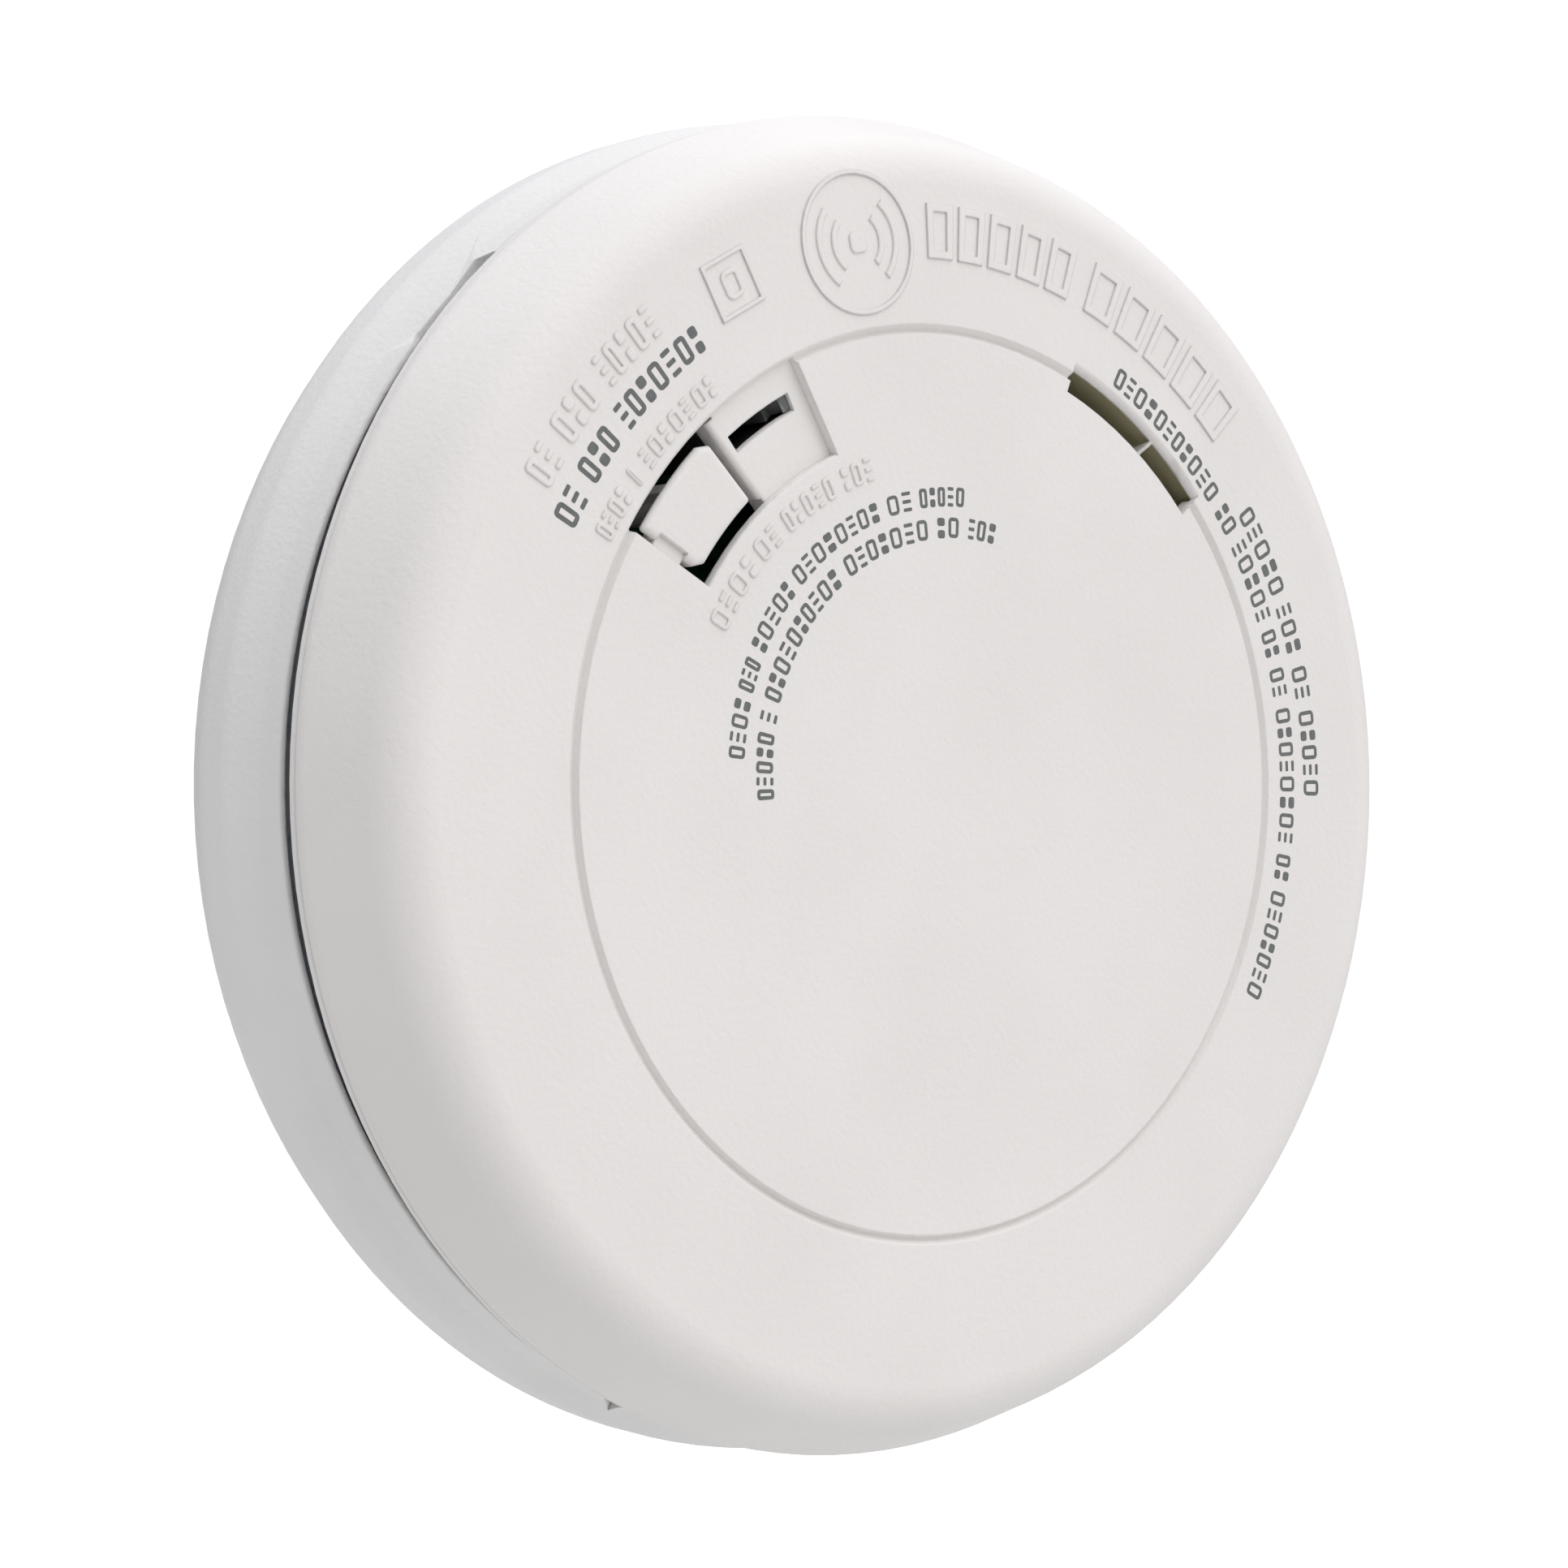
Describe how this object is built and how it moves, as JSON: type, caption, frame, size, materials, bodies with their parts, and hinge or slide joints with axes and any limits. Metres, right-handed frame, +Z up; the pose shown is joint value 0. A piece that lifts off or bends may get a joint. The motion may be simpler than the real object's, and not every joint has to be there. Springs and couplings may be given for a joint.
{
  "type": "smoke and carbon monoxide alarm",
  "caption": "Round wall-mounted smoke and carbon monoxide alarm: low domed cover with test button, status light and sound vent, sealed cell inside, on a twist-off mounting bracket.",
  "frame": {"origin": "centre of the mounting bracket's back face, on the wall plane", "axes": "+Z up, the wall is the plane Y = 0, +Y points into the wall and the alarm's face looks along -Y, +X is to the right for a person facing the alarm"},
  "size_m": [0.142, 0.0322, 0.142],
  "materials": {
    "shell_plastic": "fine spark-eroded texture",
    "housing_plastic": "fine moulded texture, light grey",
    "black_plastic": "matte",
    "clear_plastic": "clear, slightly frosted",
    "lamp_plastic": "gloss",
    "dark_lens": "gloss",
    "screen_metal": "etched",
    "sensor_steel": "drawn",
    "filter_plastic": "matte",
    "tinned_metal": "bright",
    "horn_plastic": "matte",
    "foam": "foam",
    "brass_plate": "satin",
    "piezo_ceramic": "silvered",
    "board_laminate": "solder mask",
    "chip_ceramic": "matte",
    "capacitor_sleeve": "sleeve",
    "ferrite": "matte",
    "copper": "enamelled wire",
    "switch_plastic": "matte",
    "plunger_plastic": "gloss",
    "knob_plastic": "matte",
    "cell_sleeve": "shrink sleeve",
    "red_wire": "insulation",
    "black_wire": "insulation",
    "zinc_steel": "zinc plated",
    "label_paper": "blank"
  },
  "bodies": {
    "bracket": {"mounting_bracket": "shell_plastic", "locking_pins": "shell_plastic"},
    "alarm": {"front_cover": "shell_plastic", "back_housing": "housing_plastic", "light_shroud": "black_plastic", "chamber_base": "black_plastic", "chamber_cap": "black_plastic", "microcontroller": "black_plastic", "sensor_amplifier": "black_plastic", "power_switch": "black_plastic", "light_pipe": "clear_plastic", "status_leds": "lamp_plastic", "infrared_emitter": "dark_lens", "light_receiver": "dark_lens", "insect_screen": "screen_metal", "chamber_screen": "screen_metal", "gas_sensor_can": "sensor_steel", "gas_sensor_filter": "filter_plastic", "gas_sensor_pins": "tinned_metal", "cell_tabs": "tinned_metal", "piezo_springs": "tinned_metal", "horn_housing": "horn_plastic", "horn_cap": "horn_plastic", "sound_duct": "horn_plastic", "horn_gasket": "foam", "cell_foam": "foam", "piezo_plate": "brass_plate", "piezo_ceramic": "piezo_ceramic", "circuit_board": "board_laminate", "chip_components": "chip_ceramic", "capacitors": "capacitor_sleeve", "horn_coil": "ferrite", "coil_winding": "copper", "test_switch": "switch_plastic", "lithium_cell": "cell_sleeve", "positive_lead": "red_wire", "negative_lead": "black_wire", "board_screws": "zinc_steel", "rating_label": "label_paper"},
    "button": {"test_button": "shell_plastic"},
    "plunger": {"test_plunger": "plunger_plastic"},
    "power_knob": {"power_slider": "knob_plastic"}
  },
  "joints": [
    {"name": "alarm_twist", "type": "hinge", "parent": "bracket", "child": "alarm", "pos_m": [0, 0, 0], "axis": [0, -1, 0], "range_deg": [0, 10]},
    {"name": "power_slide", "type": "slide", "parent": "alarm", "child": "power_knob", "axis": [-0.9397, 0, 0.342], "range_m": [0, 0.00384]},
    {"name": "button_press", "type": "hinge", "parent": "alarm", "child": "button", "pos_m": [-0.03643, -0.03, 0.02019], "axis": [-0.8746, 0, 0.4848], "range_deg": [0, 2.5]},
    {"name": "plunger_travel", "type": "slide", "parent": "alarm", "child": "plunger", "axis": [0, 1, 0], "range_m": [0, 0.00035]}
  ],
  "couplings": [
    {"joint": "power_slide", "follows": "alarm_twist", "m_per_rad": 0.022},
    {"joint": "plunger_travel", "follows": "button_press", "m_per_rad": 0.008}
  ]
}
